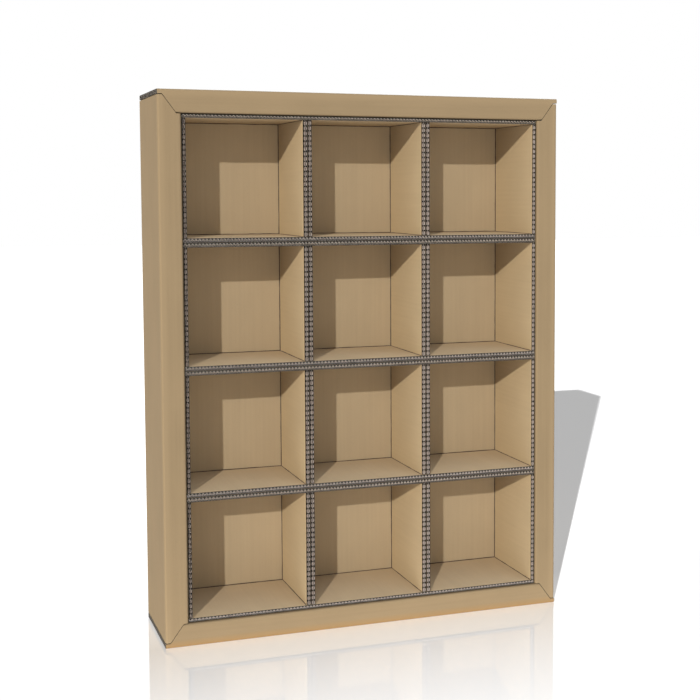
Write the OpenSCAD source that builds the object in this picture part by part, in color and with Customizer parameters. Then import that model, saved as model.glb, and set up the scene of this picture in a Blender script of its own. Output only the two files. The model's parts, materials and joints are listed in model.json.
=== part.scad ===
// Free-standing pigeonhole shelf made of double-wall corrugated board.
// Rows of open cells, glued up from flat boards, stand inside a casing of four folded boards
// with a rim around the front. Two boards close the back. Units are millimetres, +Z is up,
// the open front faces -Y, and the origin is at the middle of the base.

/* [Board] */
// Thickness of the double-wall board that every piece is cut from
board_t = 7; // [4:0.5:10]
// Outside radius where the casing boards fold
fold_r = 3; // [1:0.5:3.5]

/* [Cells] */
// Number of cells side by side
columns = 3; // [1:1:4]
// Number of rows of cells
rows = 4; // [1:1:5]
// Clear width of one cell
cell_w = 175; // [80:1:300]
// Clear height of one cell
cell_h = 175; // [80:1:300]
// Depth of the shelf boards, front edge to back edge
shelf_d = 150; // [60:1:400]

/* [Casing] */
// Width of the rim around the front
rim_w = 34; // [25:1:80]
// How far the front edges of the shelf boards stand behind the rim's face
rack_recess = 4; // [0:0.5:20]

/* [Hidden] */
// Every cell has its own walls, so two boards stand back to back between neighbours.
pitch_x = cell_w + 2 * board_t;
pitch_z = cell_h + 2 * board_t;
rack_w = columns * pitch_x;
rack_h = rows * pitch_z;
outer_w = rack_w + 2 * rim_w;
outer_h = rack_h + 2 * rim_w;
outer_d = rack_recess + shelf_d + 2 * board_t;
front_y = -outer_d / 2;
rack_y = front_y + rack_recess;
rack_back_y = rack_y + shelf_d;
back_panel_y = rack_back_y + board_t;
kraft = [0.68, 0.58, 0.44];
kraft_inside = [0.63, 0.53, 0.41];

// A capping channel runs the full width, over the ends of the two side channels. Each
// outline is [distance along the channel from its middle, distance in from the outer face].
cap_half = outer_w / 2;
cap_outline = [
    [-cap_half, 0],
    [cap_half, 0],
    [cap_half, board_t],
    [cap_half - board_t, board_t],
    [cap_half - rim_w + board_t, rim_w],
    [-cap_half + rim_w - board_t, rim_w],
    [-cap_half + board_t, board_t],
    [-cap_half, board_t]
];
side_half = outer_h / 2;
side_outline = [
    [-side_half + board_t, 0],
    [side_half - board_t, 0],
    [side_half - board_t, board_t],
    [side_half - rim_w, rim_w - board_t],
    [side_half - rim_w, rim_w],
    [-side_half + rim_w, rim_w],
    [-side_half + rim_w, rim_w - board_t],
    [-side_half + board_t, board_t]
];

// Cross-section of a folded channel: x is the depth behind the rim's face, and y is the
// distance in from the outer face. Outer wall, rim and inner wall are one folded board.
module channel_section() {
    translate([0, fold_r]) square([board_t, rim_w - 2 * fold_r]);
    translate([fold_r, 0]) square([outer_d - fold_r, board_t]);
    translate([fold_r, rim_w - board_t]) square([back_panel_y - front_y - fold_r, board_t]);
    for (y = [fold_r, rim_w - fold_r])
        translate([fold_r, y]) circle(r = fold_r, $fn = 48);
}

// A channel lying along X with its outer face down and its rim in front. The outline cuts
// its two ends to the stepped mitre that meets the next channel.
module folded_channel(outline, span) {
    intersection() {
        rotate([90, 0, 90]) linear_extrude(height = span, center = true) channel_section();
        translate([0, outer_d, 0]) rotate([90, 0, 0])
            linear_extrude(height = outer_d) polygon(outline);
    }
}

module casing_bottom() {
    color(kraft) translate([0, front_y, 0]) folded_channel(cap_outline, outer_w);
}

module casing_top() {
    color(kraft) translate([0, front_y, outer_h]) mirror([0, 0, 1])
        folded_channel(cap_outline, outer_w);
}

module casing_left() {
    color(kraft) translate([-outer_w / 2, front_y, outer_h / 2]) rotate([0, 90, 0])
        folded_channel(side_outline, outer_h);
}

module casing_right() {
    mirror([1, 0, 0]) casing_left();
}

// Outer back, let in between the outer walls of the casing
module back_panel() {
    color(kraft) translate([board_t - outer_w / 2, back_panel_y, board_t])
        cube([outer_w - 2 * board_t, board_t, outer_h - 2 * board_t]);
}

// Inner back, which closes all the cells
module rack_back() {
    color(kraft_inside) translate([-rack_w / 2, rack_back_y, rim_w])
        cube([rack_w, board_t, rack_h]);
}

// Height of the underside of a row's floor board. Row 1 is the lowest.
function row_z(row) = rim_w + (row - 1) * pitch_z;

// One full-width board with its underside at height z
module shelf_board(z) {
    color(kraft_inside) translate([-rack_w / 2, rack_y, z]) cube([rack_w, shelf_d, board_t]);
}

module row_floor(row) {
    shelf_board(row_z(row));
}

module row_ceiling(row) {
    shelf_board(row_z(row) + board_t + cell_h);
}

// One upright board between a row's floor and ceiling, with its left face at x
module upright_board(row, x) {
    color(kraft_inside) translate([x, rack_y, row_z(row) + board_t])
        cube([board_t, shelf_d, cell_h]);
}

// Cell 1 is the leftmost.
module cell_left_wall(row, cell) {
    upright_board(row, (cell - 1) * pitch_x - rack_w / 2);
}

module cell_right_wall(row, cell) {
    upright_board(row, cell * pitch_x - board_t - rack_w / 2);
}

casing_top();
casing_bottom();
casing_left();
casing_right();
back_panel();
rack_back();
for (row = [1:rows]) {
    row_floor(row);
    row_ceiling(row);
    for (cell = [1:columns]) {
        name = str("row_", row, "_cell_", cell);
        cell_left_wall(row, cell);
        cell_right_wall(row, cell);
    }
}
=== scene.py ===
"""A pigeonhole shelf of double-wall corrugated board, built paper by paper round the CAD frame.

Every board is the three liners and two fluted papers that it is made of, so its raw edges show
real flutes. Lengths are metres, apart from the two that end in _MM.
"""

import json
import math
import random
from collections import namedtuple

import bmesh
import bpy
import numpy as np
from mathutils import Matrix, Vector

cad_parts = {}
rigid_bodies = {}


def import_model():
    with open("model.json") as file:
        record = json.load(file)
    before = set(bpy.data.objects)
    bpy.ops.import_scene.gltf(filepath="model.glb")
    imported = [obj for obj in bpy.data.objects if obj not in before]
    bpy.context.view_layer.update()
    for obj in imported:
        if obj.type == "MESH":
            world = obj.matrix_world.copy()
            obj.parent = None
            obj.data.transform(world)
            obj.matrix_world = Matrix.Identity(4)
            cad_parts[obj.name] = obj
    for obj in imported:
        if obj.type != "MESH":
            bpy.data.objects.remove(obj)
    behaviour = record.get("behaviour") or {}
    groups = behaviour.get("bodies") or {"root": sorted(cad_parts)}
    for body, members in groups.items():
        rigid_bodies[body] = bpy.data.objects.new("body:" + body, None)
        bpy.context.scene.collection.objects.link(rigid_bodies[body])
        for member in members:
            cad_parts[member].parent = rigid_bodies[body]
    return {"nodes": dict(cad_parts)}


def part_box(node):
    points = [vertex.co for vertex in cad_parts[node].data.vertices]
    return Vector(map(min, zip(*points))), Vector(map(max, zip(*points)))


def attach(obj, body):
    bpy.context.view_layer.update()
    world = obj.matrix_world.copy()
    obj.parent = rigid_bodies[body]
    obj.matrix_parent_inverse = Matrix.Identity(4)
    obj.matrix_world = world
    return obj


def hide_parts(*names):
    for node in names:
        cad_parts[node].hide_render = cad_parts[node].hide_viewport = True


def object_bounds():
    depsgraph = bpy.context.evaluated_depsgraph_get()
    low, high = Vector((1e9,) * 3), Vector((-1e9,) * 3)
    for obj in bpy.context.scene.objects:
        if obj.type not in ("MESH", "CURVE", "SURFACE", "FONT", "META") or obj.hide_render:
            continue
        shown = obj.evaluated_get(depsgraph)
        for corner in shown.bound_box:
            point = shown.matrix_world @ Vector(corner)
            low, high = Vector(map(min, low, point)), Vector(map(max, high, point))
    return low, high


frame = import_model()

MM = 0.001
cad_low, cad_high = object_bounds()
random.seed(7)


# ---------------------------------------------------------------- shader nodes


def put(tree, socket, value):
    """Link or set one input. A colour may be given without its alpha."""
    if isinstance(value, bpy.types.NodeSocket):
        tree.links.new(value, socket)
    elif isinstance(value, tuple) and socket.type == "RGBA":
        socket.default_value = (*value, 1.0)
    else:
        socket.default_value = value


def math_node(tree, operation, first, second=0.0):
    node = tree.nodes.new("ShaderNodeMath")
    node.operation = operation
    put(tree, node.inputs[0], first)
    put(tree, node.inputs[1], second)
    return node.outputs["Value"]


def ramp(tree, value, start, end, at_start, at_end):
    """A number that goes from at_start to at_end as value goes from start to end."""
    node = tree.nodes.new("ShaderNodeMapRange")
    put(tree, node.inputs["Value"], value)
    for socket, number in zip(node.inputs[1:5], (start, end, at_start, at_end)):
        put(tree, socket, number)
    return node.outputs["Result"]


def clamped(tree, value):
    node = tree.nodes.new("ShaderNodeClamp")
    put(tree, node.inputs["Value"], value)
    return node.outputs["Result"]


def stretched(tree, vector, stretch):
    node = tree.nodes.new("ShaderNodeVectorMath")
    node.operation = "MULTIPLY"
    put(tree, node.inputs[0], vector)
    put(tree, node.inputs[1], stretch)
    return node.outputs["Vector"]


def noise(tree, vector, stretch, detail):
    """Noise from 0 to 1. Its spots are 1/stretch metres long along each axis."""
    node = tree.nodes.new("ShaderNodeTexNoise")
    put(tree, node.inputs["Vector"], stretched(tree, vector, stretch))
    put(tree, node.inputs["Scale"], 1.0)
    put(tree, node.inputs["Detail"], detail)
    return node.outputs["Fac"]


def mix_colour(tree, factor, first, second):
    node = tree.nodes.new("ShaderNodeMix")
    node.data_type = "RGBA"
    put(tree, node.inputs["Factor"], factor)
    put(tree, node.inputs[6], first)
    put(tree, node.inputs[7], second)
    return node.outputs[2]


def weighted_sum(tree, parts):
    """The sum of value times weight over the parts."""
    total = 0.0
    for value, weight in parts:
        total = math_node(tree, "ADD", math_node(tree, "MULTIPLY", value, weight), total)
    return total


def scaled_colour(colour, factor):
    return tuple(min(1.0, channel * factor) for channel in colour)


# ---------------------------------------------------------------- camera, floor and lights

# The eye, in metres from the middle of the base, and the way it looks
EYE = (-0.637, -2.075, 0.677)
YAW_DEG = 21.37
PITCH_DEG = 4.33
LENS_MM = 70.0
SENSOR_MM = 36.0
SHIFT = (-0.15, -0.08)
NEAREST, FARTHEST = 0.05, 60.0

WHITE = (1.0, 1.0, 1.0)

# The way each light travels, its strength, its width in degrees and its colour. The side light
# keeps the key light's shadow edges on the right-hand cell walls, and just reaches their rear
# ends. It leaves out the cell floors, where its edges would show beside the key light's. The
# level light shines on them instead: it has the key light's edges there, and just reaches the
# rear. The fill light softens the shadows on the cell floors, and shines on nothing else. The
# rear light reaches nothing that the front shows.
KEY = ((0.530, 1.000, -0.407), 1.72, 0.8, (0.99, 1.00, 0.99))
SIDE = ((1.000, 0.857, -0.349), 1.32, 1.5, (1.00, 0.93, 0.74))
LEVEL = ((0.530, 1.000, -1.170), 0.78, 0.8, (1.00, 0.91, 0.84))
FILL = ((-0.100, 1.000, -0.900), 0.80, 60.0, (0.57, 0.74, 1.00))
DOME = ((0.000, 0.150, -1.000), 2.85, 175.0, (0.82, 0.90, 1.00))
REAR = ((-0.450, -1.000, -0.500), 2.30, 10.0, WHITE)
# Shines on the studio floor alone
FLOOR_KEY = ((0.565, 1.000, -0.414), 9.75, 0.4, WHITE)
LAMP_DISTANCE = 2.0

FLOOR_HALF = 15.0
FLOOR_WHITE = (0.95, 0.95, 0.95)
FLOOR_GLOW = 0.015
# The floor's share of mirror at the shelf's front, at its back, and far from both
MIRROR_FRONT, MIRROR_BACK, MIRROR_LOW = 0.55, 0.45, 0.10
MIRROR_FADE = 0.38
MIRROR_ROUGHNESS = 0.015


def make_camera():
    data = bpy.data.cameras.new("camera")
    data.lens = LENS_MM
    data.sensor_width = SENSOR_MM
    data.shift_x, data.shift_y = SHIFT
    data.clip_start, data.clip_end = NEAREST, FARTHEST
    camera = bpy.data.objects.new("camera", data)
    camera.location = EYE
    camera.rotation_euler = (math.radians(90.0 - PITCH_DEG), 0.0, math.radians(-YAW_DEG))
    bpy.context.collection.objects.link(camera)
    bpy.context.scene.camera = camera


def make_sun(name, direction, strength, width_deg, colour):
    data = bpy.data.lights.new(name, "SUN")
    data.energy = strength
    data.color = colour
    data.angle = math.radians(width_deg)
    lamp = bpy.data.objects.new(name, data)
    lamp.rotation_mode = "QUATERNION"
    lamp.rotation_quaternion = Vector(direction).to_track_quat("-Z", "Y")
    lamp.location = -LAMP_DISTANCE * Vector(direction)
    bpy.context.collection.objects.link(lamp)
    return lamp


def link_light(lamp, objects, state):
    """INCLUDE lights only these objects, and EXCLUDE lights all but these."""
    group = bpy.data.collections.new(lamp.name + "_receivers")
    for number, thing in enumerate(objects):
        group.objects.link(thing)
        group.collection_objects[number].light_linking.link_state = state
    lamp.light_linking.receiver_collection = group


def make_lights(floor):
    for name, settings in (("key", KEY), ("dome", DOME), ("rear", REAR)):
        link_light(make_sun(name, *settings), [floor], "EXCLUDE")
    link_light(make_sun("floor_key", *FLOOR_KEY), [floor], "INCLUDE")
    link_light(make_sun("side", *SIDE), [floor] + cell_floors(), "EXCLUDE")
    link_light(make_sun("level", *LEVEL), cell_floors(), "INCLUDE")
    link_light(make_sun("fill", *FILL), cell_floors(), "INCLUDE")


def make_world():
    """A white surround. It is seen and mirrored, but the lamps do the lighting."""
    world = bpy.data.worlds.new("studio")
    world.use_nodes = True
    background = world.node_tree.nodes["Background"]
    background.inputs["Color"].default_value = (*WHITE, 1.0)
    background.inputs["Strength"].default_value = 1.0
    world.cycles_visibility.diffuse = False
    bpy.context.scene.world = world
    bpy.context.scene.view_settings.view_transform = "Standard"


def mirror_share(tree):
    """The floor's share of mirror, and the glow that takes its place behind the shelf."""
    place = tree.nodes.new("ShaderNodeTexCoord")
    parts = tree.nodes.new("ShaderNodeSeparateXYZ")
    put(tree, parts.inputs["Vector"], place.outputs["Object"])
    depth = parts.outputs["Y"]
    front, back = cad_low[1], cad_high[1]
    before = ramp(tree, depth, front - MIRROR_FADE, front, MIRROR_LOW, MIRROR_FRONT)
    under = ramp(tree, depth, front, back, 0.0, MIRROR_FRONT - MIRROR_BACK)
    behind = ramp(tree, depth, back, back + MIRROR_FADE, 0.0, MIRROR_BACK - MIRROR_LOW)
    lost = math_node(tree, "ADD", under, behind)
    share = math_node(tree, "SUBTRACT", before, lost)
    return share, math_node(tree, "ADD", behind, FLOOR_GLOW)


def floor_material():
    material = bpy.data.materials.new("floor_white")
    material.use_nodes = True
    tree = material.node_tree
    tree.nodes.clear()
    matte = tree.nodes.new("ShaderNodeBsdfDiffuse")
    put(tree, matte.inputs["Color"], FLOOR_WHITE)
    mirror = tree.nodes.new("ShaderNodeBsdfGlossy")
    put(tree, mirror.inputs["Color"], WHITE)
    put(tree, mirror.inputs["Roughness"], MIRROR_ROUGHNESS)
    share, glow_strength = mirror_share(tree)
    glow = tree.nodes.new("ShaderNodeEmission")
    put(tree, glow.inputs["Strength"], glow_strength)
    blend = tree.nodes.new("ShaderNodeMixShader")
    put(tree, blend.inputs["Fac"], share)
    put(tree, blend.inputs[1], matte.outputs["BSDF"])
    put(tree, blend.inputs[2], mirror.outputs["BSDF"])
    total = tree.nodes.new("ShaderNodeAddShader")
    put(tree, total.inputs[0], blend.outputs["Shader"])
    put(tree, total.inputs[1], glow.outputs["Emission"])
    output = tree.nodes.new("ShaderNodeOutputMaterial")
    put(tree, output.inputs["Surface"], total.outputs["Shader"])
    return material


def make_floor():
    """A white floor with a faint mirror to it. Behind the shelf a glow takes the mirror's place."""
    half = FLOOR_HALF
    corners = [(-half, -half, 0.0), (half, -half, 0.0), (half, half, 0.0), (-half, half, 0.0)]
    mesh = bpy.data.meshes.new("floor")
    mesh.from_pydata(corners, [], [(0, 1, 2, 3)])
    mesh.materials.append(floor_material())
    floor = bpy.data.objects.new("floor", mesh)
    bpy.context.collection.objects.link(floor)
    return floor


# ---------------------------------------------------------------- materials

# The casing's kraft is a darker copy of the rack's: painted shade that offsets the stronger light on
# the casing's open faces.
CASING_KRAFT_SHADED = (0.231, 0.164, 0.093)
RACK_KRAFT = (0.430, 0.323, 0.197)
# The two inner papers are copies of one kraft: this near-black one paints the shade in the flutes'
# hollows, and the pale one below paints light on some of the hollow faces.
HOLLOW_SHADE_PAPER = (0.030, 0.025, 0.021)
HOLLOW_LIT_PAPER = (0.650, 0.565, 0.505)
# Near-black: paints a dark shade line along the liners' cut edges and the uprights' flute edges.
LINER_CUT_SHADE = (0.024, 0.019, 0.015)
FLUTE_CUT = (0.250, 0.213, 0.175)
# The beads at the cells' inner corners: partly real adhesive, partly painted crease shade.
GLUE_CREASE_SHADE = (0.075, 0.050, 0.032)

# Kraft liner. Its patterns are given in spots per metre, across the flutes and along them.
CLOUD_GRAIN = (17.0, 11.0, 1.0)
STREAK_GRAIN = (240.0, 5.0, 1.0)
FIBRE_GRAIN = (2400.0, 700.0, 1.0)
FLECK_GRAIN = (300.0, 130.0, 1.0)
CLOUD_DETAIL, STREAK_DETAIL, FIBRE_DETAIL = 4.0, 3.0, 4.0
CLOUD_WEIGHT, STREAK_WEIGHT, FIBRE_WEIGHT = 1.5, 1.2, 1.0
# Taken off the weighted sum of the three, so that it is about one half on average
SHADE_OFFSET = 1.35
FLECK_RADIUS, FLECK_STRENGTH, FLECK_SHADE = 0.08, 0.35, 0.6
KRAFT_SHINE, KRAFT_ROUGHNESS = 0.06, 0.66
FIBRE_ROUGHNESS, STREAK_ROUGHNESS = 0.16, 0.10
# Painted fold shading: near the bottom channel's outer front fold the board is painted this darker
# orange shade, broken up like a scuff, and the other folds get a painted highlight this much
# lighter.
FOLD_SHADE_TONE = (0.270, 0.155, 0.060)
RUB_HIGHLIGHT = 1.09
# Added to the fibres' pattern, so that the painted fold shade covers more than the fibres' crests
FOLD_SHADE_COVER = 0.35
# How fast the painted highlight sets in near a fold
FOLD_HIGHLIGHT_GAIN = 2.0
# Heights of the fibres, of the flutes' imprint and of the streaks
FIBRE_HEIGHT, IMPRINT_HEIGHT, STREAK_HEIGHT = 0.05 * MM, 0.02 * MM, 0.05 * MM
KRAFT_BUMP = 0.7

# Inner and cut papers. Their patterns are given in spots per metre.
TORN_GRAIN = (1800.0, 1800.0, 1800.0)
PATCH_GRAIN = (90.0, 90.0, 90.0)
TORN_DETAIL, PATCH_DETAIL = 4.0, 3.0
# The weight of each of the two patterns, and what is taken off their sum
TORN_WEIGHT, TORN_OFFSET = 1.4, 0.9
TORN_SHINE, TORN_ROUGHNESS = 0.2, 0.2
TORN_HEIGHT, TORN_BUMP = 0.1 * MM, 0.8


def new_material(name):
    material = bpy.data.materials.new(name)
    material.use_nodes = True
    return material, material.node_tree, material.node_tree.nodes["Principled BSDF"]


def read_attribute(tree, name, output):
    node = tree.nodes.new("ShaderNodeAttribute")
    node.attribute_name = name
    return node.outputs[output]


def add_bump(tree, shader, height, strength):
    bump = tree.nodes.new("ShaderNodeBump")
    put(tree, bump.inputs["Height"], height)
    put(tree, bump.inputs["Strength"], strength)
    put(tree, bump.inputs["Distance"], 1.0)
    put(tree, shader.inputs["Normal"], bump.outputs["Normal"])


def mottled(tree, shade, colour, contrast):
    """The colour, darker or lighter by contrast as shade goes from 0 to 1."""
    dark = scaled_colour(colour, 1.0 - contrast)
    light = scaled_colour(colour, 1.0 + contrast)
    return mix_colour(tree, clamped(tree, shade), dark, light)


def add_flecks(tree, grain, tone, colour):
    cells = tree.nodes.new("ShaderNodeTexVoronoi")
    put(tree, cells.inputs["Vector"], stretched(tree, grain, FLECK_GRAIN))
    put(tree, cells.inputs["Scale"], 1.0)
    fleck = math_node(tree, "LESS_THAN", cells.outputs["Distance"], FLECK_RADIUS)
    fleck = math_node(tree, "MULTIPLY", fleck, FLECK_STRENGTH)
    return mix_colour(tree, fleck, tone, scaled_colour(colour, FLECK_SHADE))


def add_fold_shade_and_highlight(tree, fibre, tone, colour):
    """Painted shade where the attribute fold is above 0, broken up by the fibres like a scuff,
    and a painted highlight where it is below.
    """
    fold = read_attribute(tree, "fold", "Fac")
    fold_shade_mask = math_node(tree, "MULTIPLY", fold, math_node(tree, "ADD", fibre, FOLD_SHADE_COVER))
    tone = mix_colour(tree, clamped(tree, fold_shade_mask), tone, FOLD_SHADE_TONE)
    fold_highlight_mask = math_node(tree, "MULTIPLY", fold, -FOLD_HIGHLIGHT_GAIN)
    return mix_colour(tree, clamped(tree, fold_highlight_mask), tone, scaled_colour(colour, RUB_HIGHLIGHT))


def flute_imprint(tree, grain, flute_pitch):
    parts = tree.nodes.new("ShaderNodeSeparateXYZ")
    put(tree, parts.inputs["Vector"], grain)
    turns = math_node(tree, "MULTIPLY", parts.outputs["X"], 2.0 * math.pi / flute_pitch)
    return math_node(tree, "SINE", turns)


def paper_material(name, colour, contrast, flute_pitch):
    """Matte kraft liner: cloudy mottling, streaks along the flutes, fibres and dark flecks.

    The attribute grain holds the place on the board in metres: across the flutes and along
    them. The attribute fold is 0 away from a fold, 1 where the fold's shade is painted on and -1
    where a highlight is painted on.
    """
    material, tree, shader = new_material(name)
    grain = read_attribute(tree, "grain", "Vector")
    cloud = noise(tree, grain, CLOUD_GRAIN, CLOUD_DETAIL)
    streak = noise(tree, grain, STREAK_GRAIN, STREAK_DETAIL)
    fibre = noise(tree, grain, FIBRE_GRAIN, FIBRE_DETAIL)
    shades = ((cloud, CLOUD_WEIGHT), (streak, STREAK_WEIGHT), (fibre, FIBRE_WEIGHT))
    shade = math_node(tree, "SUBTRACT", weighted_sum(tree, shades), SHADE_OFFSET)
    tone = mottled(tree, shade, colour, contrast)
    tone = add_flecks(tree, grain, tone, colour)
    tone = add_fold_shade_and_highlight(tree, fibre, tone, colour)
    put(tree, shader.inputs["Base Color"], tone)
    roughness = weighted_sum(tree, ((fibre, FIBRE_ROUGHNESS), (streak, STREAK_ROUGHNESS)))
    put(tree, shader.inputs["Roughness"], math_node(tree, "ADD", roughness, KRAFT_ROUGHNESS))
    put(tree, shader.inputs["Specular IOR Level"], KRAFT_SHINE)
    imprint = flute_imprint(tree, grain, flute_pitch)
    reliefs = ((fibre, FIBRE_HEIGHT), (imprint, IMPRINT_HEIGHT), (streak, STREAK_HEIGHT))
    add_bump(tree, shader, weighted_sum(tree, reliefs), KRAFT_BUMP)
    return material


def rough_material(name, colour, contrast, roughness):
    """Cut or inner paper, or bead adhesive: torn fibres, with little sheen. The near-black inner
    paper and the liner cut edges paint shade, the beads partly paint crease shade, and the pale
    inner paper paints light.
    """
    material, tree, shader = new_material(name)
    place = tree.nodes.new("ShaderNodeTexCoord").outputs["Object"]
    fibre = noise(tree, place, TORN_GRAIN, TORN_DETAIL)
    patch = noise(tree, place, PATCH_GRAIN, PATCH_DETAIL)
    shade = weighted_sum(tree, ((fibre, TORN_WEIGHT), (patch, TORN_WEIGHT)))
    shade = math_node(tree, "SUBTRACT", shade, TORN_OFFSET)
    put(tree, shader.inputs["Base Color"], mottled(tree, shade, colour, contrast))
    varied = math_node(tree, "MULTIPLY", fibre, TORN_ROUGHNESS)
    put(tree, shader.inputs["Roughness"], math_node(tree, "ADD", varied, roughness))
    put(tree, shader.inputs["Specular IOR Level"], TORN_SHINE)
    add_bump(tree, shader, math_node(tree, "MULTIPLY", fibre, TORN_HEIGHT), TORN_BUMP)
    return material


# ---------------------------------------------------------------- corrugated board

LINER = 0.62 * MM
STEPS_PER_FLUTE = 12
FACE, SHADED_INSIDE, LIT_INSIDE, LINER_EDGE_SHADE, FLUTE_EDGE, BEAD_CREASE_SHADE = range(6)

# A fluted paper: its pitch, its share of the height between the liners, its thickness, how
# narrow its crests are (2 is a plain wave), how freely it lies along the board (0 to 1), the
# papers that line the hollows above and below it, and the look of its cut edge. The hollows'
# papers are one inner kraft in two copies: a near-black one paints the hollows' shade, and a
# pale one paints light on them. A board's flutes go from its first face to its second.
Flute = namedtuple("Flute", "pitch share paper crest freedom above below edge")
SHELF_FLUTES = (
    Flute(4.3 * MM, 0.28, 0.35 * MM, 2.0, 1.0, SHADED_INSIDE, SHADED_INSIDE, FLUTE_EDGE),
    Flute(5.2 * MM, 0.72, 0.70 * MM, 2.0, 1.0, SHADED_INSIDE, LIT_INSIDE, FLUTE_EDGE),
)
CASING_FLUTES = (
    Flute(4.3 * MM, 0.45, 0.45 * MM, 2.0, 1.0, SHADED_INSIDE, SHADED_INSIDE, FLUTE_EDGE),
    Flute(5.2 * MM, 0.55, 0.45 * MM, 2.0, 1.0, SHADED_INSIDE, SHADED_INSIDE, FLUTE_EDGE),
)
# The two flutes of an upright mirror each other, and close up into a chain of eyes: the pale
# copy paints light inside them, and the near-black cut edges paint shade round them.
UPRIGHT_FLUTES = (
    Flute(7.57 * MM, 0.50, 0.35 * MM, 6.0, 0.08, LIT_INSIDE, SHADED_INSIDE, LINER_EDGE_SHADE),
    Flute(7.57 * MM, 0.50, 0.35 * MM, 6.0, 0.08, SHADED_INSIDE, LIT_INSIDE, LINER_EDGE_SHADE),
)
FLUTE_WANDER = 0.7
WANDER_LENGTH = 130.0 * MM
BEAD_SIZE = 1.0 * MM
BEAD_SCATTER = 0.2
BEAD_STEP = 9.0 * MM
# How far a bead starts behind the boards' front edges
BEAD_SETBACK = 3.0 * MM
# A bead's section has its corner at the joint. This is the middle of its hollow face.
BEAD_HOLLOW = 0.36
SHARP_DEG = 35.0


class Papers:
    """Collects the closed paper strips of one board, then makes them one mesh.

    place turns a point of a strip (two across its line, one along the flutes) into the frame.
    """

    def __init__(self, place):
        self.place = place
        self.points = []
        self.grain = []
        self.fold = []
        self.faces = []
        self.slots = []
        self.offset = np.array([random.uniform(0.0, 9.0) for _ in range(3)])

    def add_point(self, point, across, along, fold=0.0):
        self.points.append(point)
        self.grain.append((across, along, 0.0))
        self.fold.append(fold)

    def add_face(self, corners, slot):
        self.faces.append(corners)
        self.slots.append(slot)

    def strip(self, line, run, half, reach, slots, fold=None):
        """A paper that follows line and spans reach(point, i) along the flutes.

        slots are the materials of its first face, its second face and its cut edges.
        """
        line = np.asarray(line, float)
        step = np.diff(line, axis=0)
        step /= np.linalg.norm(step, axis=1)[:, None]
        side = np.stack([-step[:, 1], step[:, 0]], axis=1)
        before = np.vstack([side[:1], side])
        after = np.vstack([side, side[-1:]])
        normal = before + after
        normal /= np.linalg.norm(normal, axis=1)[:, None]
        spread = np.clip(np.sum(normal * after, axis=1), 0.5, 1.0)
        shift = normal * (half / spread)[:, None]
        base = len(self.points)
        for i, (middle, move) in enumerate(zip(line, shift)):
            painted_fold = 0.0 if fold is None else fold[i]
            for point in (middle + move, middle - move):
                for end in reach(point, i):
                    self.add_point(self.place(point[0], point[1], end), run[i], end, painted_fold)
        for i in range(len(line) - 1):
            a = base + 4 * i
            b = a + 4
            self.add_face((a, b, b + 1, a + 1), slots[0])
            self.add_face((a + 2, a + 3, b + 3, b + 2), slots[1])
            self.add_face((a, a + 2, b + 2, b), slots[2])
            self.add_face((a + 1, b + 1, b + 3, a + 3), slots[2])
        last = base + 4 * (len(line) - 1)
        self.add_face((base, base + 1, base + 3, base + 2), slots[2])
        self.add_face((last, last + 2, last + 3, last + 1), slots[2])

    def bead(self, start, end, first, second):
        """A thin dark bead along a corner: real adhesive, whose dark colour also paints the corner's
        crease shade. first and second point along its two faces.
        """
        start, end = Vector(start), Vector(end)
        first, second = Vector(first), Vector(second)
        corner = -2.0 * FIT * (first + second)
        count = max(2, int((end - start).length / BEAD_STEP))
        base = len(self.points)
        for i in range(count + 1):
            middle = start.lerp(end, i / count) + corner
            scatter = random.uniform(1.0 - BEAD_SCATTER, 1.0 + BEAD_SCATTER)
            size = BEAD_SIZE * scatter + 2.0 * FIT
            for a, b in ((0.0, 0.0), (1.0, 0.0), (BEAD_HOLLOW, BEAD_HOLLOW), (0.0, 1.0)):
                self.add_point(middle + size * (a * first + b * second), 0.0, 0.0)
        for i in range(count):
            for k in range(4):
                a = base + 4 * i + k
                b = base + 4 * i + (k + 1) % 4
                self.add_face((a, b, b + 4, a + 4), BEAD_CREASE_SHADE)
        last = base + 4 * count
        self.add_face((base, base + 1, base + 2, base + 3), BEAD_CREASE_SHADE)
        self.add_face((last, last + 3, last + 2, last + 1), BEAD_CREASE_SHADE)

    def build(self, name, materials):
        mesh = bpy.data.meshes.new(name)
        mesh.from_pydata(self.points, [], self.faces)
        for material in materials:
            mesh.materials.append(material)
        mesh.polygons.foreach_set("material_index", self.slots)
        grain = mesh.attributes.new("grain", "FLOAT_VECTOR", "POINT")
        grain.data.foreach_set("vector", (np.asarray(self.grain) + self.offset).ravel())
        fold = mesh.attributes.new("fold", "FLOAT", "POINT")
        fold.data.foreach_set("value", self.fold)
        turned = bmesh.new()
        turned.from_mesh(mesh)
        bmesh.ops.recalc_face_normals(turned, faces=turned.faces)
        turned.to_mesh(mesh)
        turned.free()
        mesh.polygons.foreach_set("use_smooth", [True] * len(self.faces))
        mesh.set_sharp_from_angle(angle=math.radians(SHARP_DEG))
        piece = bpy.data.objects.new(name, mesh)
        bpy.context.collection.objects.link(piece)
        return piece


def board_liners(thickness, flutes):
    """Each liner's middle height and its slots: upper face, lower face and cut edge."""
    low, high = flutes
    middle = LINER + (thickness - 3.0 * LINER) * low.share
    return (
        (0.5 * LINER, (low.below, FACE, LINER_EDGE_SHADE)),
        (middle + 0.5 * LINER, (high.below, low.above, LINER_EDGE_SHADE)),
        (thickness - 0.5 * LINER, (FACE, high.above, LINER_EDGE_SHADE)),
    )


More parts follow.
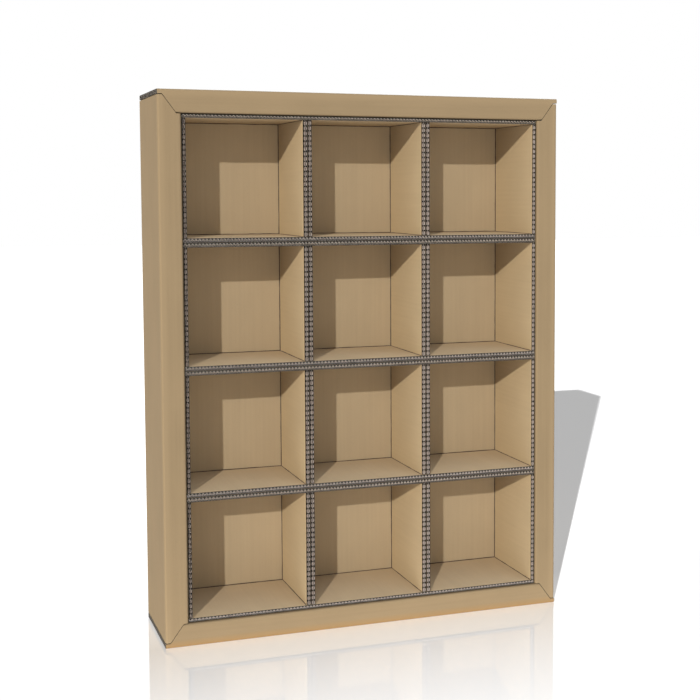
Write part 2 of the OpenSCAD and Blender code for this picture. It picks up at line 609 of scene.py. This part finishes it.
def board_flutes(thickness, flutes, run):
    """Each fluted paper's heights along the board, its thickness and its slots.

    The flutes drift a little along the board, as real ones do.
    """
    phase = random.uniform(0.0, 2.0 * math.pi)
    drift = random.uniform(0.0, 2.0 * math.pi)
    base = LINER
    layers = []
    for flute, sign in zip(flutes, (1.0, -1.0)):
        room = (thickness - 3.0 * LINER) * flute.share
        swing = 0.5 * (room - flute.paper)
        wander = phase + FLUTE_WANDER * np.sin(2.0 * np.pi * run / WANDER_LENGTH + drift)
        turns = 2.0 * np.pi * run / flute.pitch + flute.freedom * wander
        wave = 2.0 * np.abs(np.cos(0.5 * turns)) ** flute.crest - 1.0
        heights = base + 0.5 * room + sign * swing * wave
        layers.append((heights, flute.paper, (flute.above, flute.below, flute.edge)))
        base += room + LINER
    return layers


def flat_board(place, width, thickness, length, flutes):
    """A flat board: first across the flutes, then through the thickness, swept along them."""
    papers = Papers(place)

    def reach(point, i):
        return 0.0, length

    for height, slots in board_liners(thickness, flutes):
        papers.strip([(0.0, height), (width, height)], (0.0, width), 0.5 * LINER, reach, slots)
    finest = min(flute.pitch for flute in flutes)
    across = np.linspace(0.0, width, int(math.ceil(width / finest * STEPS_PER_FLUTE)) + 1)
    for heights, paper, slots in board_flutes(thickness, flutes, across):
        line = np.stack([across, heights], axis=1)
        papers.strip(line, across, 0.5 * paper, reach, slots)
    return papers


# ---------------------------------------------------------------- pieces

BODY = "root"
# The gap round a board, the gap between the rack and the casing, and how far the front edges
# of the rack's boards may stand back at random
FIT = 0.15 * MM
RACK_GAP = 1.3 * MM
EDGE_SCATTER = 0.35 * MM


def finish_piece(papers, node, materials):
    piece = papers.build(node + "_board", materials)
    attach(piece, BODY)
    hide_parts(node)


def cell_floors():
    return [thing for thing in bpy.data.objects if thing.name.endswith("_floor_board")]


def board_in_node(node, across, through, flutes, front=0.0):
    """A flat board in a node's box. across and through name the axes; flutes run along the third."""
    low, high = (Vector(corner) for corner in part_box(node))
    rack_low, rack_high = (Vector(corner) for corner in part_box("rack_back"))
    along = 3 - across - through
    for axis in (through, across):
        low[axis] += RACK_GAP if abs(low[axis] - rack_low[axis]) < FIT else FIT
        high[axis] -= RACK_GAP if abs(high[axis] - rack_high[axis]) < FIT else FIT
    if along == 1:
        low[1] += front
        high[1] -= FIT
    size = high - low

    def place(x, y, z):
        point = low.copy()
        point[across] += x
        point[through] += y
        point[along] += z
        return point

    return flat_board(place, size[across], size[through], size[along], flutes)


FOLD_R = 3.0 * MM
FOLD_STEPS = 10
# How far the painted fold shade and highlight reach from a fold's corner, and their two kinds
FOLD_PAINT_REACH = 12.0 * MM
SCUFFED_SHADE, RUBBED_HIGHLIGHT = 1.0, -1.0
PATH_STEP = 0.45 * MM
# The last of the outer wall, where its length changes to that of the mitred rim
WALL_END = 0.01 * MM
MITRE_GAP = 1.2 * MM


def channel_path(depth, back_depth, rim, board):
    """(Outer point, inner point, is outer wall) along a folded channel's section."""
    pairs = []

    def straight(outer, inner, outer_end, inner_end, wall):
        outer, inner = np.array(outer), np.array(inner)
        outer_end, inner_end = np.array(outer_end), np.array(inner_end)
        count = max(1, int(math.ceil(np.linalg.norm(outer_end - outer) / PATH_STEP)))
        for i in range(count):
            k = i / count
            pairs.append((outer + k * (outer_end - outer), inner + k * (inner_end - inner), wall))

    def fold(centre, start_deg, corner, wall):
        for i in range(FOLD_STEPS):
            angle = math.radians(start_deg + 90.0 / FOLD_STEPS * i)
            turned = np.array([-math.sin(angle), -math.cos(angle)])
            pairs.append((np.array(centre) + FOLD_R * turned, np.array(corner), wall))

    near, far = board, rim - board
    straight((depth, 0.0), (depth, board), (near, 0.0), (near, board), True)
    straight((near, 0.0), (near, near), (FOLD_R, 0.0), (near, near), True)
    fold((FOLD_R, FOLD_R), 0.0, (near, near), True)
    straight((0.0, FOLD_R), (near, near), (0.0, near), (near, near), True)
    last = near - WALL_END
    pairs.append((np.array([0.0, last]), np.array([near, last]), True))
    straight((0.0, near), (near, near), (0.0, far), (near, far), False)
    straight((0.0, far), (near, far), (0.0, rim - FOLD_R), (near, far), False)
    fold((FOLD_R, rim - FOLD_R), 90.0, (near, far), False)
    straight((FOLD_R, rim), (near, far), (near, rim), (near, far), False)
    straight((near, rim), (near, far), (back_depth, rim), (back_depth, far), False)
    pairs.append((np.array([back_depth, rim]), np.array([back_depth, far]), False))
    return pairs


def folded_board(place, depth, back_depth, rim, board, reach_at, fold_paint):
    """A channel folded from one board. reach_at(distance in, is outer wall) is its half length."""
    papers = Papers(place)
    pairs = channel_path(depth, back_depth, rim, board)
    outer = np.array([pair[0] for pair in pairs])
    inner = np.array([pair[1] for pair in pairs])
    wall = [pair[2] for pair in pairs]
    middle = 0.5 * (outer + inner)
    run = np.concatenate([[0.0], np.cumsum(np.linalg.norm(np.diff(middle, axis=0), axis=1))])
    # How much painted fold shade (above 0) and painted highlight (below 0) each point gets
    fold = fold_paint * np.clip(1.0 - np.linalg.norm(outer, axis=1) / FOLD_PAINT_REACH, 0.0, 1.0)

    def reach(point, i):
        half = reach_at(point[1], wall[i])
        return -half, half

    # The line runs the other way round than a flat board's, so each paper's faces change places.
    for height, (above, below, edge) in board_liners(board, CASING_FLUTES):
        line = outer + (inner - outer) * (height / board)
        papers.strip(line, run, 0.5 * LINER, reach, (below, above, edge), fold)
    for heights, paper, (above, below, edge) in board_flutes(board, CASING_FLUTES, run):
        line = outer + (inner - outer) * (heights / board)[:, None]
        papers.strip(line, run, 0.5 * paper, reach, (below, above, edge))
    return papers


def make_casing(materials):
    """Four folded channels round the rack, and the outer back between their outer walls."""
    low, high = (Vector(corner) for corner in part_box("casing_bottom"))
    width = high.x - low.x
    rim = high.z - low.z
    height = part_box("casing_top")[1][2]
    panel_low, panel_high = (Vector(corner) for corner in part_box("back_panel"))
    board = panel_high.y - panel_low.y
    depth = panel_high.y - low.y - 2.0 * FIT
    back_depth = panel_low.y - low.y - 2.0 * FIT

    def cap_reach(inward, outer_wall):
        if outer_wall:
            return 0.5 * width
        return 0.5 * width - board - (inward - board) * (rim - 2.0 * board) / (rim - board)

    def side_reach(inward, outer_wall):
        slope = (rim - board) / (rim - 2.0 * board)
        inward = min(max(inward, board), rim - board)
        return 0.5 * height - board - (inward - board) * slope - MITRE_GAP

    def bottom(y, u, v):
        return v, low.y + y, u

    def top(y, u, v):
        return v, low.y + y, height - u

    def left(y, u, v):
        return u - 0.5 * width, low.y + y, 0.5 * height + v

    def right(y, u, v):
        return 0.5 * width - u, low.y + y, 0.5 * height + v

    # The bottom channel's front fold gets painted shade; the other three get a painted highlight.
    channels = (
        ("casing_bottom", bottom, cap_reach, SCUFFED_SHADE),
        ("casing_top", top, cap_reach, RUBBED_HIGHLIGHT),
        ("casing_left", left, side_reach, RUBBED_HIGHLIGHT),
        ("casing_right", right, side_reach, RUBBED_HIGHLIGHT),
    )
    for node, place, reach_at, fold_paint in channels:
        papers = folded_board(place, depth, back_depth, rim, board, reach_at, fold_paint)
        finish_piece(papers, node, materials)
    papers = board_in_node("back_panel", 0, 1, CASING_FLUTES)
    finish_piece(papers, "back_panel", materials)


def cells():
    """Each open cell as (row, low corner, high corner), read from the boards round it."""
    found = []
    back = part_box("rack_back")[0][1]
    for node in sorted(frame["nodes"]):
        if node.endswith("_left_wall"):
            row = node.split("_cell_")[0]
            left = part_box(node)[1]
            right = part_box(node.replace("_left_", "_right_"))[0]
            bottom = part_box(row + "_floor")
            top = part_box(row + "_ceiling")
            low = Vector((left[0], bottom[0][1], bottom[1][2]))
            found.append((row, low, Vector((right[0], back, top[0][2]))))
    return found


X, Y, Z = Vector((1.0, 0.0, 0.0)), Vector((0.0, 1.0, 0.0)), Vector((0.0, 0.0, 1.0))


def glue_and_shade_back(papers, low, high):
    """Dark beads, partly painted crease shade, along the four corners between a cell's walls and
    the inner back.
    """
    corners = [Vector((x, high.y, z)) for x in (low.x, high.x) for z in (low.z, high.z)]
    papers.bead(corners[0], corners[2], -Y, Z)
    papers.bead(corners[1], corners[3], -Y, -Z)
    papers.bead(corners[0], corners[1], -Y, X)
    papers.bead(corners[2], corners[3], -Y, -X)


def glue_and_shade_depth(papers, low, high, z, up):
    """Dark beads, partly painted crease shade, from front to back along the feet or heads of a
    cell's two walls.
    """
    front = low.y + BEAD_SETBACK
    papers.bead((low.x, front, z), (low.x, high.y, z), X, up)
    papers.bead((high.x, front, z), (high.x, high.y, z), -X, up)


def make_rack(materials):
    """The shelf boards, uprights and inner back, with the dark adhesive beads that join them and
    paint crease shade along their inner corners.
    """
    open_cells = cells()
    for node in sorted(frame["nodes"]):
        front = random.uniform(0.0, EDGE_SCATTER)
        if node.endswith("_wall"):
            papers = board_in_node(node, 2, 0, UPRIGHT_FLUTES, front)
        elif node.endswith(("_floor", "_ceiling")):
            papers = board_in_node(node, 0, 2, SHELF_FLUTES, front)
            for row, low, high in open_cells:
                if node == row + "_floor":
                    glue_and_shade_depth(papers, low, high, low.z, Z)
                if node == row + "_ceiling":
                    glue_and_shade_depth(papers, low, high, high.z, -Z)
        elif node == "rack_back":
            papers = board_in_node(node, 0, 1, SHELF_FLUTES)
            for row, low, high in open_cells:
                glue_and_shade_back(papers, low, high)
        else:
            continue
        finish_piece(papers, node, materials)


make_camera()
make_world()
floor = make_floor()

inner_papers = [
    rough_material("fluting_paper_painted_shade", HOLLOW_SHADE_PAPER, contrast=0.20, roughness=0.75),
    rough_material("pale_paper_painted_light", HOLLOW_LIT_PAPER, contrast=0.10, roughness=0.75),
    rough_material("liner_cut_edge_painted_shade", LINER_CUT_SHADE, contrast=0.30, roughness=0.70),
    rough_material("flute_cut_edge", FLUTE_CUT, contrast=0.25, roughness=0.75),
    rough_material("glue_crease_shade", GLUE_CREASE_SHADE, contrast=0.25, roughness=0.40),
]
casing_kraft_painted_shade = paper_material("casing_kraft_painted_shade", CASING_KRAFT_SHADED, 0.055, CASING_FLUTES[1].pitch)
rack_kraft = paper_material("rack_kraft", RACK_KRAFT, 0.045, UPRIGHT_FLUTES[0].pitch)
make_casing([casing_kraft_painted_shade] + inner_papers)
make_rack([rack_kraft] + inner_papers)
make_lights(floor)
